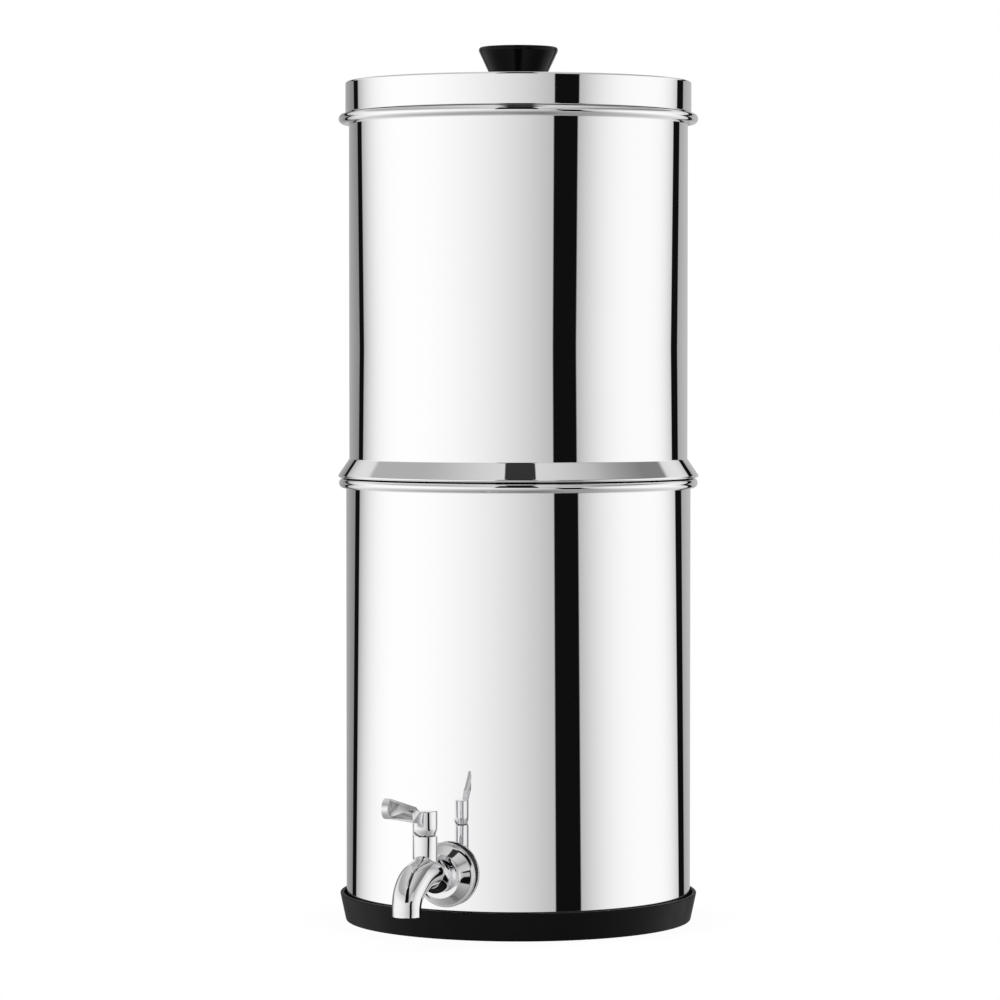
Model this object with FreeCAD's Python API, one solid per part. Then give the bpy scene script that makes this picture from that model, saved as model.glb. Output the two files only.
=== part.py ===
import FreeCAD, Part
import math
import os

from FreeCAD import Vector

# Gravity water filter: two steel chambers, one standing in the other, with a cam-lift tap.
# Millimetres, +Z up. The origin is on the chamber axis at the foot of the base ring.
# The tap points along -Y.

# Steel sheet and the chambers
sheet = 0.7
lower_radius = 108.0
lower_rim_top = 277.6
rim_overhang = 4.5
lower_corner_radius = 4.0
chamber_step = 2.0
upper_height = 227.9
upper_floor_drop = 22.0
upper_corner_radius = 6.0
rim_tube_radius = 3.1
rim_curl_angle = 60.0
rim_curl_gap = 0.35
nest_gap = 1.2
seam_gap = 0.1
flare_overhang = 5.0
flare_height = 9.5
flare_lip_height = 2.4
flare_bend_radius = 5.0

# Lid
lid_overhang = 2.2
lid_height = 19.8
lid_foot_bend = 1.2
lid_shoulder_radius = 2.5
lid_neck_depth = 12.0
lid_neck_gap = 0.6

# Knob and what holds it
knob_height = 22.0
knob_base_radius = 17.2
knob_waist_radius = 18.4
knob_waist_height = 6.0
knob_waist_bend = 12.0
knob_top_radius = 24.7
knob_top_band = 2.6
knob_edge_radius = 1.6
knob_screw_radius = 2.5
knob_screw_head_radius = 4.6
knob_screw_head_height = 3.4
knob_screw_reach = 12.0
knob_hole_spare = 3.2
knob_washer_radius = 8.0
washer_thickness = 1.2

# Base ring
ring_foot_overhang = 0.4
ring_rim_overhang = 4.0
ring_height = 18.5
ring_wall = 2.4
ring_web = 3.5
ring_ledge = 9.0
ring_gap = 0.3
ring_edge = 0.8

# Filters and the plugs of the spare holes
moulded_edge = 0.8
filter_wall_gap = 21.8
floor_hole_radius = 6.6
filter_radius = 30.0
filter_height = 165.0
filter_crown_radius = 5.0
filter_bore_radius = 8.0
filter_bore_cover = 14.0
filter_cap_radius = 31.5
filter_cap_height = 14.0
filter_cap_lip = 5.0
filter_stem_radius = 6.2
filter_stem_length = 26.0
filter_stem_bore_radius = 3.2
gasket_radius = 15.0
gasket_thickness = 2.4
wing_hub_radius = 10.5
wing_nut_height = 8.0
wing_span = 34.0
wing_thickness = 3.4
plug_head_radius = 13.0
plug_head_height = 5.0
plug_stem_length = 15.0
plug_nut_flats = 20.0
plug_nut_height = 6.0

# Tap: the shank through the wall, the flange and the seals
shank_height = 40.0
shank_radius = 8.0
shank_inside_length = 22.0
shank_bore_radius = 4.5
shank_hole_gap = 0.3
flange_standoff = 3.2
flange_depth = 10.2
flange_rim_radius = 19.7
flange_rim_thickness = 2.0
flange_lip_radius = 13.4
flange_lip_thickness = 1.0
flange_edge = 0.4
trumpet_radius = 13.0
trumpet_length = 8.0
trumpet_front_inset = 0.7
seal_radius = 18.6
inner_seal_radius = 13.95
inner_seal_depth = 3.9
nut_flats = 24.0
nut_height = 7.0

# Tap: barrel, spout and valve passages
barrel_standoff = 33.7
barrel_radius = 7.5
barrel_top = 66.7
barrel_foot_fillet = 2.4
horn_root_inset = 3.0
horn_root_radius = 9.9
horn_crown_height = 44.9
horn_crown_radius = 10.2
horn_crown_setback = 2.5
horn_middle_radius = 9.8
outlet_reach = 26.5
outlet_radius = 8.7
outlet_height = 21.5
outlet_bore_radius = 6.9
outlet_straight = 5.0
seat_height = 45.5
seat_wall = 1.2
seat_bore_radius = 3.6
passage_radius = 3.3
passage_run = 7.0
valve_room_radius = 5.5
inlet_radius = 2.6
inlet_rise = 4.0
shank_bore_stop = 10.2

# Tap: gland, stem, spring and disc
gland_height = 5.2
gland_ledge = 0.4
stem_radius = 2.0
stem_gap = 0.05
ring_cord_radius = 0.9
disc_radius = 4.9
disc_thickness = 2.6
spring_washer_radius = 4.9
spring_washer_thickness = 0.8
spring_coil_radius = 4.1
spring_wire = 0.8
spring_turns = 4
spring_gap = 0.15
stem_head_height = 1.2
stem_head_gap = 0.6

# Tap: cam between barrel and lever hub
cam_rise = 5.0
cam_sweep = 80.0
cam_apex_angle = -85.0
cam_gap = 0.15
cam_inner_radius = 4.0
cam_root = 1.5

# Lever
hub_radius = 7.5
hub_top = 82.0
hub_taper_height = 3.8
hub_taper = 1.3
hub_edge = 0.5
hub_bore_depth = 9.0
fin_thickness = 4.0
fin_length = 57.9
fin_tip_height = 12.3
fin_tip_low = 82.0
fin_heel_inset = 5.9
fin_brow_inset = 4.7
fin_nose_rise = 6.4
blade_low_start = 22.0
blade_low_height = 77.0
blade_high_start = 17.3
blade_high_height = 85.8
fin_root_low = 75.2
fin_root_low_reach = 12.0
fin_root_high = 81.6
fin_root_high_reach = 11.0
fin_panel_depth = 0.7
fin_frame = 1.3
pin_radius = 1.2
pin_height_above_barrel = 6.8
pin_inset = 0.3

# How far a cut runs past the face it opens
cut_overrun = 1.0


def at_ring(distance, height, across=0.0):
    """Point in front of the chamber axis, seen from the side."""
    return Vector(across, -distance, height)


def polar(radius, angle):
    return Vector(radius * math.cos(math.radians(angle)), radius * math.sin(math.radians(angle)), 0)


def rounded_path(corners):
    """Open path through (radius, height, bend) corners, each corner rounded by its bend."""
    points = [Vector(r, 0, z) for r, z, bend in corners]
    edges = []
    start = points[0]
    for i in range(1, len(points) - 1):
        bend = corners[i][2]
        back = (points[i - 1] - points[i]).normalize()
        ahead = (points[i + 1] - points[i]).normalize()
        if bend <= 0:
            edges.append(Part.makeLine(start, points[i]))
            start = points[i]
            continue
        half = back.getAngle(ahead) / 2
        reach = bend / math.tan(half)
        first = points[i] + back * reach
        last = points[i] + ahead * reach
        centre = points[i] + (back + ahead).normalize() * (bend / math.sin(half))
        middle = centre + (points[i] - centre).normalize() * bend
        if first.distanceToPoint(start) > 1e-6:
            edges.append(Part.makeLine(start, first))
        edges.append(Part.Arc(first, middle, last).toShape())
        start = last
    if points[-1].distanceToPoint(start) > 1e-6:
        edges.append(Part.makeLine(start, points[-1]))
    return edges


def turned(edges):
    """Solid of revolution about Z from a closed outline."""
    face = Part.Face(Part.Wire(edges))
    return face.revolve(Vector(0, 0, 0), Vector(0, 0, 1), 360)


def turned_profile(corners):
    """Solid of revolution from closed (radius, height, bend) corners, the first one sharp."""
    return turned(rounded_path(corners + [corners[0]]))


def turned_sheet(edges, thickness):
    """Sheet-metal shell turned about Z, its thickness laid on one side of the path."""
    wire = Part.Wire(edges)
    other = wire.makeOffset2D(thickness, 0, False, True)
    ends = [wire.OrderedVertexes[0].Point, wire.OrderedVertexes[-1].Point]
    far = [other.OrderedVertexes[0].Point, other.OrderedVertexes[-1].Point]
    if ends[0].distanceToPoint(far[0]) > ends[0].distanceToPoint(far[1]):
        far.reverse()
    caps = []
    for near_end, far_end in zip(ends, far):
        if near_end.distanceToPoint(far_end) > 1e-6:
            caps.append(Part.makeLine(near_end, far_end))
    outline = Part.Wire(Part.__sortEdges__(list(wire.Edges) + list(other.Edges) + caps))
    return Part.Face(outline).revolve(Vector(0, 0, 0), Vector(0, 0, 1), 360)


def save(name, shape):
    if isinstance(shape, Part.Compound) and len(shape.Solids) == 1:
        shape = shape.Solids[0]
    shape.exportStep("parts/" + name + ".step")
    print(name, len(shape.Solids), "valid" if shape.isValid() else "INVALID", round(shape.Volume))


# Heights and radii that follow from the sizes above

upper_radius = lower_radius - chamber_step
lower_bore = lower_radius - sheet
upper_bore = upper_radius - sheet
rim_ring_radius = lower_radius + rim_overhang - rim_tube_radius
flare_radius = lower_radius + flare_overhang
lid_radius = upper_radius + lid_overhang
seam_height = lower_rim_top + seam_gap
upper_rim_top = seam_height + upper_height
neck_radius = lower_bore - nest_gap
floor_under = seam_height - upper_floor_drop
floor_top = floor_under + sheet
filter_circle_radius = upper_bore - filter_wall_gap - filter_cap_radius
flange_back_distance = lower_radius + flange_standoff
flange_lip_distance = flange_back_distance + flange_depth
barrel_distance = lower_radius + barrel_standoff
outlet_distance = barrel_distance + outlet_reach


def rim_edges(bore, top):
    """Rolled rim that starts where the sheet's inner face stops being straight."""
    lead = rim_ring_radius - bore
    first = Vector(bore, 0, top - lead)
    crest = Vector(rim_ring_radius, 0, top)
    slant = math.sqrt(0.5)
    bend = Vector(rim_ring_radius - lead * slant, 0, top - lead + lead * slant)
    centre = Vector(rim_ring_radius, 0, top - rim_tube_radius)
    outside = centre + Vector(rim_tube_radius, 0, 0)
    under = centre - Vector(0, 0, rim_tube_radius)
    room = (rim_ring_radius - bore - sheet - rim_curl_gap) / rim_tube_radius
    curl = math.radians(rim_curl_angle)
    if room < math.sin(curl):
        curl = math.asin(room)
    half = centre + Vector(-math.sin(curl / 2), 0, -math.cos(curl / 2)) * rim_tube_radius
    tail = centre + Vector(-math.sin(curl), 0, -math.cos(curl)) * rim_tube_radius
    return [
        Part.Arc(first, bend, crest).toShape(),
        Part.Arc(crest, outside, under).toShape(),
        Part.Arc(under, half, tail).toShape(),
    ]


def rim_curve_start(bore, top):
    return top - (rim_ring_radius - bore)


def tap_hole(radius):
    """Round bar along the shank's axis, from the chamber's middle out through its wall."""
    return Part.makeCylinder(radius, lower_radius, at_ring(lower_radius / 2, shank_height), Vector(0, -1, 0))


def floor_places():
    """Centres of the four floor holes: right filter, rear plug, left filter, front plug."""
    return [polar(filter_circle_radius, 90 * i) for i in range(4)]


def lower_chamber():
    path = rounded_path([
        (0, ring_web + sheet, 0),
        (lower_bore, ring_web + sheet, lower_corner_radius - sheet),
        (lower_bore, rim_curve_start(lower_bore, lower_rim_top), 0),
    ])
    shell = turned_sheet(path + rim_edges(lower_bore, lower_rim_top), -sheet)
    return shell.cut(tap_hole(shank_radius + shank_hole_gap))


def base_ring():
    foot = lower_radius + ring_foot_overhang
    rim = lower_radius + ring_rim_overhang
    bore = lower_radius - ring_ledge
    return turned_profile([
        (bore, 0, 0),
        (foot - ring_edge, 0, 0),
        (foot, ring_edge, 0),
        (rim, ring_height - ring_edge, 0),
        (rim - ring_edge, ring_height, 0),
        (rim - ring_wall, ring_height, 0),
        (lower_radius + ring_gap, ring_web, lower_corner_radius),
        (bore, ring_web, 0),
    ])


def upper_chamber():
    under = seam_height + sheet
    fold = sheet / 2
    path = rounded_path([
        (0, floor_top, 0),
        (neck_radius - sheet, floor_top, upper_corner_radius - sheet),
        (neck_radius - sheet, under, 2 * sheet),
        (flare_radius - sheet, under, fold),
        (flare_radius - sheet, seam_height + flare_lip_height, fold),
        (upper_bore, seam_height + flare_lip_height + flare_height, flare_bend_radius),
        (upper_bore, rim_curve_start(upper_bore, upper_rim_top), 0),
    ])
    shell = turned_sheet(path + rim_edges(upper_bore, upper_rim_top), -sheet)
    for place in floor_places():
        foot = place + Vector(0, 0, floor_under - sheet)
        shell = shell.cut(Part.makeCylinder(floor_hole_radius, 4 * sheet, foot))
    return shell


# The lid's foot rests on the curved crest of the upper rim

lid_lead = rim_ring_radius - upper_bore
lid_foot_reach = rim_ring_radius - (lid_radius - lid_foot_bend)
lid_seat = (rim_curve_start(upper_bore, upper_rim_top) - lid_foot_bend
            + math.sqrt((lid_lead + lid_foot_bend + seam_gap) ** 2 - lid_foot_reach ** 2))
lid_top = lid_seat + lid_height


def lid():
    neck = upper_bore - lid_neck_gap
    path = rounded_path([
        (neck, lid_seat - lid_neck_depth, 0),
        (neck, lid_seat, sheet),
        (lid_radius, lid_seat, lid_foot_bend),
        (lid_radius, lid_top, lid_shoulder_radius),
        (knob_screw_radius + stem_gap, lid_top, 0),
    ])
    return turned_sheet(path, sheet)


def lid_knob():
    top = lid_top + knob_height
    body = turned_profile([
        (0, lid_top, 0),
        (knob_base_radius, lid_top, knob_edge_radius / 3),
        (knob_waist_radius, lid_top + knob_waist_height, knob_waist_bend),
        (knob_top_radius, top - knob_top_band, knob_edge_radius),
        (knob_top_radius, top, knob_edge_radius),
        (0, top, 0),
    ])
    hole = Part.makeCylinder(knob_screw_radius + stem_gap, knob_screw_reach + knob_hole_spare,
                             Vector(0, 0, lid_top))
    return body.cut(hole)


def knob_washer():
    foot = Vector(0, 0, lid_top - sheet - washer_thickness)
    ring = Part.makeCylinder(knob_washer_radius, washer_thickness, foot)
    return ring.cut(Part.makeCylinder(knob_screw_radius + stem_gap, washer_thickness, foot))


def knob_screw():
    head_top = lid_top - sheet - washer_thickness
    head = turned_profile([
        (0, head_top - knob_screw_head_height, 0),
        (knob_screw_head_radius, head_top - knob_screw_head_height, knob_screw_head_height / 2),
        (knob_screw_head_radius, head_top, 0),
        (0, head_top, 0),
    ])
    length = lid_top - head_top + knob_screw_reach
    shank = Part.makeCylinder(knob_screw_radius, length, Vector(0, 0, head_top))
    slot = Part.makeBox(3 * knob_screw_head_radius, knob_screw_radius / 2, knob_screw_head_height / 2,
                        Vector(-1.5 * knob_screw_head_radius, -knob_screw_radius / 4,
                               head_top - knob_screw_head_height))
    return head.fuse(shank).cut(slot).removeSplitter()


# Filter elements in the upper chamber

gasket_top = floor_top + gasket_thickness
cap_seat = gasket_top + filter_cap_height - filter_cap_lip


def filter_block(place):
    block = turned_profile([
        (0, cap_seat, 0),
        (filter_radius, cap_seat, 0),
        (filter_radius, cap_seat + filter_height, filter_crown_radius),
        (0, cap_seat + filter_height, 0),
    ])
    core = Part.makeCylinder(filter_bore_radius, filter_height - filter_bore_cover, Vector(0, 0, cap_seat))
    return block.cut(core).translated(place)


def filter_base(place):
    cap = turned_profile([
        (filter_stem_bore_radius, gasket_top - filter_stem_length, 0),
        (filter_stem_radius, gasket_top - filter_stem_length, 0),
        (filter_stem_radius, gasket_top, 0),
        (filter_cap_radius - moulded_edge, gasket_top, 0),
        (filter_cap_radius, gasket_top + moulded_edge, 0),
        (filter_cap_radius, gasket_top + filter_cap_height, 0),
        (filter_radius + seam_gap, gasket_top + filter_cap_height, 0),
        (filter_radius + seam_gap, cap_seat, 0),
        (filter_stem_bore_radius, cap_seat, 0),
    ])
    return cap.translated(place)


def floor_washer(place):
    ring = Part.makeCylinder(gasket_radius, gasket_thickness, Vector(0, 0, floor_top))
    hole = Part.makeCylinder(filter_stem_radius + seam_gap, 2 * gasket_thickness, Vector(0, 0, floor_under))
    return ring.cut(hole).translated(place)


def wing_nut(place):
    low = floor_under - wing_nut_height
    hub = turned_profile([
        (0, low, 0),
        (wing_hub_radius - moulded_edge, low, 0),
        (wing_hub_radius, floor_under, 0),
        (0, floor_under, 0),
    ])
    wings = Part.makeBox(wing_span, wing_thickness, wing_nut_height - moulded_edge,
                         Vector(-wing_span / 2, -wing_thickness / 2, low))
    tips = Part.makeCylinder(wing_span / 2, wing_nut_height, Vector(0, 0, low))
    nut = hub.fuse(wings.common(tips)).removeSplitter()
    bore = Part.makeCylinder(filter_stem_radius + stem_gap, 2 * wing_nut_height,
                             Vector(0, 0, low - cut_overrun))
    return nut.cut(bore).translated(place)


def blank_plug(place):
    head = turned_profile([
        (0, gasket_top - plug_stem_length, 0),
        (filter_stem_radius - moulded_edge, gasket_top - plug_stem_length, 0),
        (filter_stem_radius, gasket_top - plug_stem_length + moulded_edge, 0),
        (filter_stem_radius, gasket_top, 0),
        (plug_head_radius, gasket_top, 0),
        (plug_head_radius, gasket_top + plug_head_height - moulded_edge, 0),
        (plug_head_radius - moulded_edge, gasket_top + plug_head_height, 0),
        (0, gasket_top + plug_head_height, 0),
    ])
    return head.translated(place)


def hexagon(flats, height, foot):
    radius = flats / 2 / math.cos(math.radians(30))
    corners = [polar(radius, 60 * i) for i in range(7)]
    return Part.Face(Part.makePolygon(corners)).extrude(Vector(0, 0, height)).translated(foot)


def plug_nut(place):
    low = Vector(0, 0, floor_under - plug_nut_height)
    nut = hexagon(plug_nut_flats, plug_nut_height, low)
    bore = Part.makeCylinder(filter_stem_radius + stem_gap, plug_nut_height, low)
    return nut.cut(bore).translated(place)


# Tap parts that lie round the shank's axis are turned about Z and then laid forwards

def laid_forwards(shape):
    """Turn a shape from its own +Z to -Y and set it on the shank's axis."""
    return shape.rotated(Vector(0, 0, 0), Vector(1, 0, 0), 90).translated(Vector(0, 0, shank_height))


def outside_lower_chamber(shape):
    inside = Part.makeCylinder(lower_radius, shank_height * 3, Vector(0, 0, 0))
    return shape.cut(inside)


def tap_escutcheon():
    bore = shank_radius + shank_hole_gap
    neck = flange_lip_radius - flange_lip_thickness
    shoulder = flange_back_distance + flange_rim_thickness
    return laid_forwards(turned_profile([
        (bore, flange_back_distance, 0),
        (flange_rim_radius - flange_edge, flange_back_distance, 0),
        (flange_rim_radius, flange_back_distance + flange_edge, 0),
        (flange_rim_radius, shoulder - flange_edge, 0),
        (flange_rim_radius - flange_edge, shoulder, 0),
        (flange_rim_radius - flange_lip_thickness, shoulder, 0),
        (neck, flange_lip_distance - 2 * flange_lip_thickness, flange_lip_thickness),
        (flange_lip_radius, flange_lip_distance - flange_lip_thickness, 0),
        (flange_lip_radius, flange_lip_distance, 0),
        (bore, flange_lip_distance, 0),
    ]))


def tap_gasket_outer():
    length = flange_back_distance - shank_height
    bar = Part.makeCylinder(seal_radius, length, at_ring(shank_height, shank_height), Vector(0, -1, 0))
    return outside_lower_chamber(bar).cut(tap_hole(shank_radius + shank_hole_gap))


def tap_gasket_inner():
    back = lower_bore - inner_seal_depth
    start = at_ring(back, shank_height)
    bar = Part.makeCylinder(inner_seal_radius, lower_radius - back, start, Vector(0, -1, 0))
    inside = Part.makeCylinder(lower_bore, shank_height * 3, Vector(0, 0, 0))
    return bar.common(inside).cut(tap_hole(shank_radius + shank_hole_gap))


def tap_nut():
    back = lower_bore - inner_seal_depth - nut_height
    nut = hexagon(nut_flats, nut_height, Vector(0, 0, back))
    return laid_forwards(nut.cut(Part.makeCylinder(shank_radius + stem_gap, nut_height, Vector(0, 0, back))))


# Spout: a horn of circles along a bent centre line

crown_distance = barrel_distance - horn_crown_setback
horn_root_distance = flange_lip_distance + horn_root_inset
bend_width = outlet_distance - crown_distance
bend_low = outlet_height + outlet_straight
bend_drop = horn_crown_height - bend_low


def circle_across(distance, height, tilt, radius):
    """Circle facing forwards, tilted down by an angle; its seam stays on the +X side."""
    ring = Part.Wire(Part.makeCircle(radius))
    ring.rotate(Vector(0, 0, 0), Vector(1, 0, 0), 90 + tilt)
    ring.translate(at_ring(distance, height))
    return ring


def horn_root_stations():
    """Rise of the horn from the flange to its crown, as a smooth step."""
    stations = []
    run = crown_distance - horn_root_distance
    climb = horn_crown_height - shank_height
    for i in range(4):
        share = i / 4
        slope = 6 * share * (1 - share) * climb / run
        stations.append((
            horn_root_distance + share * run,
            shank_height + share * share * (3 - 2 * share) * climb,
            -math.degrees(math.atan(slope)),
            horn_root_radius + share * (horn_crown_radius - horn_root_radius),
        ))
    return stations


def horn_bend_stations():
    """Quarter ellipse from the crown down to the outlet, and the straight end."""
    stations = []
    for i in range(7):
        turn = math.radians(15 * i)
        share = i / 6
        if share < 0.5:
            radius = horn_crown_radius + 2 * share * (horn_middle_radius - horn_crown_radius)
        else:
            radius = horn_middle_radius + (2 * share - 1) * (outlet_radius - horn_middle_radius)
        stations.append((
            crown_distance + bend_width * math.sin(turn),
            bend_low + bend_drop * math.cos(turn),
            math.degrees(math.atan2(bend_drop * math.sin(turn), bend_width * math.cos(turn))),
            radius,
        ))
    stations.append((outlet_distance, outlet_height, 90, outlet_radius))
    return stations


def loft_of(stations):
    return Part.makeLoft([circle_across(*station) for station in stations], True, False)


def trumpet():
    """Flared root of the horn, a quarter curve turned about the shank's axis."""
    step = flange_lip_distance + flange_lip_thickness
    front = flange_lip_distance + trumpet_length
    narrow = Vector(horn_root_radius - trumpet_front_inset, 0, front)
    middle = Vector(narrow.x + 0.22 * (trumpet_radius - narrow.x), 0, step + 0.32 * (front - step))
    edges = [
        Part.makeLine(Vector(0, 0, flange_lip_distance), Vector(trumpet_radius, 0, flange_lip_distance)),
        Part.makeLine(Vector(trumpet_radius, 0, flange_lip_distance), Vector(trumpet_radius, 0, step)),
        Part.Arc(Vector(trumpet_radius, 0, step), middle, narrow).toShape(),
        Part.makeLine(narrow, Vector(0, 0, front)),
        Part.makeLine(Vector(0, 0, front), Vector(0, 0, flange_lip_distance)),
    ]
    return laid_forwards(turned(edges))


def helix_block(start_angle, rise, sweep, height, depth, inner, outer):
    """Solid under a screw-shaped ramp that climbs from an angle, towards +X if sweep is positive."""
    pitch = rise * 360 / abs(sweep)
    left_handed = sweep < 0
    inner_edge = Part.makeHelix(pitch, rise, inner, 0, left_handed).Edges[0]
    outer_edge = Part.makeHelix(pitch, rise, outer, 0, left_handed).Edges[0]
    block = Part.makeRuledSurface(inner_edge, outer_edge).extrude(Vector(0, 0, -depth))
    block.rotate(Vector(0, 0, 0), Vector(0, 0, 1), start_angle - 90)
    return block.translated(at_ring(barrel_distance, height))


def cam_hump(height, depth, inner, outer):
    """The two ramps that meet at the apex of the cam; angles run from -Y towards +X."""
    rising = helix_block(cam_apex_angle + cam_sweep, cam_rise, -cam_sweep, height, depth, inner, outer)
    falling = helix_block(cam_apex_angle - cam_sweep, cam_rise, cam_sweep, height, depth, inner, outer)
    return rising.fuse(falling)


def on_barrel(radius, low, high):
    return Part.makeCylinder(radius, high - low, at_ring(barrel_distance, low))


room_top = barrel_top - gland_height
gland_radius = valve_room_radius + gland_ledge


def barrel():
    """Barrel with the cam's hump on its upper edge."""
    stub = on_barrel(barrel_radius, horn_crown_height, barrel_top)
    sleeve = on_barrel(barrel_radius, barrel_top - cam_root, barrel_top + cam_rise)
    hump = cam_hump(barrel_top, cam_rise + cam_root, cam_inner_radius, 2 * barrel_radius).common(sleeve)
    return stub.fuse(hump)


def outlet_passage():
    """Way from under the seat into the horn, whose centre line it follows down to the outlet."""
    low = seat_height - seat_wall - passage_radius
    stations = [
        (barrel_distance - seat_bore_radius, low, 0, passage_radius),
        (barrel_distance + passage_run, low, 0, passage_radius),
    ]
    for distance, height, tilt, radius in horn_bend_stations()[3:]:
        stations.append((distance, height, tilt, radius - outlet_radius + outlet_bore_radius))
    stations[-1] = (outlet_distance, outlet_height - cut_overrun, 90, outlet_bore_radius)
    return loft_of(stations)


def inlet_passage():
    """Way that climbs from the end of the shank's bore to the valve room above the seat."""
    start = at_ring(barrel_distance - shank_bore_stop - inlet_radius, shank_height)
    end = at_ring(barrel_distance - valve_room_radius / 2, seat_height + inlet_rise)
    return Part.makeCylinder(inlet_radius, start.distanceToPoint(end), start, end - start)


def barrel_foot_edges(shape):
    """Edges where the barrel stands on the horn."""
    edges = []
    for edge in shape.Edges:
        box = edge.BoundBox
        on_axis = abs(box.Center.y + barrel_distance) < barrel_radius
        at_foot = horn_crown_height < box.Center.z < barrel_top - gland_height
        if on_axis and at_foot and box.DiagonalLength > barrel_radius > box.ZLength:
            edges.append(edge)
    return edges


def tap_body():
    back = lower_bore - shank_inside_length
    forwards = Vector(0, -1, 0)
    shank = Part.makeCylinder(shank_radius, horn_root_distance - back, at_ring(back, shank_height), forwards)
    horn = loft_of(horn_root_stations() + horn_bend_stations())
    body = horn.fuse(on_barrel(barrel_radius, horn_crown_height, barrel_top))
    body = body.makeFillet(barrel_foot_fillet, barrel_foot_edges(body))
    body = body.fuse(trumpet()).fuse(shank).fuse(barrel())
    bore_start = back - cut_overrun
    bore_end = barrel_distance - shank_bore_stop
    bore = Part.makeCylinder(shank_bore_radius, bore_end - bore_start,
                             at_ring(bore_start, shank_height), forwards)
    room = on_barrel(valve_room_radius, seat_height, barrel_top)
    mouth = on_barrel(gland_radius, room_top, barrel_top + cam_rise + cut_overrun)
    drop = on_barrel(seat_bore_radius, seat_height - seat_wall - passage_radius, seat_height + cut_overrun)
    for hollow in (bore, inlet_passage(), room, mouth, drop, outlet_passage()):
        body = body.cut(hollow)
    return body


# Valve parts

disc_bottom = seat_height + stem_gap
disc_top = disc_bottom + disc_thickness
spring_low = disc_top + spring_washer_thickness
ring_groove_radius = stem_radius + stem_gap + 2 * ring_cord_radius


def stem_gland():
    groove_middle = (room_top + barrel_top) / 2
    groove_half = ring_cord_radius + stem_gap
    hole = stem_radius + stem_gap
    return turned_profile([
        (hole, room_top, 0),
        (gland_radius - stem_gap, room_top, 0),
        (gland_radius - stem_gap, barrel_top, 0),
        (hole, barrel_top, 0),
        (hole, groove_middle + groove_half, 0),
        (ring_groove_radius + stem_gap, groove_middle + groove_half, 0),
        (ring_groove_radius + stem_gap, groove_middle - groove_half, 0),
        (hole, groove_middle - groove_half, 0),
    ]).translated(at_ring(barrel_distance, 0))


def stem_oring():
    middle = (room_top + barrel_top) / 2
    return Part.makeTorus(stem_radius + stem_gap + ring_cord_radius, ring_cord_radius,
                          at_ring(barrel_distance, middle))


def valve_disc():
    disc = on_barrel(disc_radius, disc_bottom, disc_top)
    return disc.cut(on_barrel(stem_radius + stem_gap, disc_bottom, disc_top))


def spring_washer():
    washer = on_barrel(spring_washer_radius, disc_top, spring_low)
    return washer.cut(on_barrel(stem_radius + stem_gap, disc_top, spring_low))


def valve_spring():
    """Square wire wound from the washer up to the gland."""
    half = spring_wire / 2
    low = spring_low + half + spring_gap
    rise = room_top - half - spring_gap - low
    helix = Part.makeHelix(rise / spring_turns, rise, spring_coil_radius)
    inner = spring_coil_radius - half
    outer = spring_coil_radius + half
    section = Part.makePolygon([
        Vector(inner, 0, -half), Vector(outer, 0, -half), Vector(outer, 0, half), Vector(inner, 0, half),
        Vector(inner, 0, -half),
    ])
    coil = Part.Wire(helix.Edges).makePipeShell([section], True, True)
    return coil.translated(at_ring(barrel_distance, low))


hub_low = barrel_top + cam_gap
stem_top = hub_low + hub_bore_depth
stem_head_radius = seat_bore_radius - stem_head_gap


def valve_stem():
    head = on_barrel(stem_head_radius, disc_bottom - stem_head_height - stem_gap, disc_bottom - stem_gap)
    rod = on_barrel(stem_radius, disc_bottom - stem_gap - stem_head_height / 2, stem_top)
    return head.fuse(rod).removeSplitter().cut(pin_bar(pin_radius + stem_gap))


def pin_bar(radius):
    """Cross pin through hub and stem, set so that its ends face sideways and back."""
    reach = hub_radius - pin_inset
    bar = Part.makeCylinder(radius, 2 * reach, Vector(-reach, 0, 0), Vector(1, 0, 0))
    bar.rotate(Vector(0, 0, 0), Vector(0, 0, 1), 30)
    return bar.translated(at_ring(barrel_distance, barrel_top + pin_height_above_barrel))


def lever_pin():
    return pin_bar(pin_radius)


def fin_outline():
    """Closed edges of the lever's blade in the plane of the spout, and of its root."""
    def spot(length, height):
        return at_ring(barrel_distance + length, height, -fin_thickness / 2)

    belly = spot(blade_low_start, blade_low_height)
    heel = spot(fin_length - fin_heel_inset, fin_tip_low)
    nose = spot(fin_length, fin_tip_low + fin_nose_rise)
    brow = spot(fin_length - fin_brow_inset, fin_tip_low + fin_tip_height)
    neck = spot(blade_high_start, blade_high_height)
    blade = [
        Part.makeLine(belly, heel),
        Part.Arc(heel, nose, brow).toShape(),
        Part.makeLine(brow, neck),
        Part.makeLine(neck, belly),
    ]
    root = Part.makePolygon([
        spot(0, fin_root_low), spot(fin_root_low_reach, fin_root_low), belly, neck,
        spot(fin_root_high_reach, fin_root_high), spot(0, fin_root_high), spot(0, fin_root_low),
    ])
    return blade, root


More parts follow.
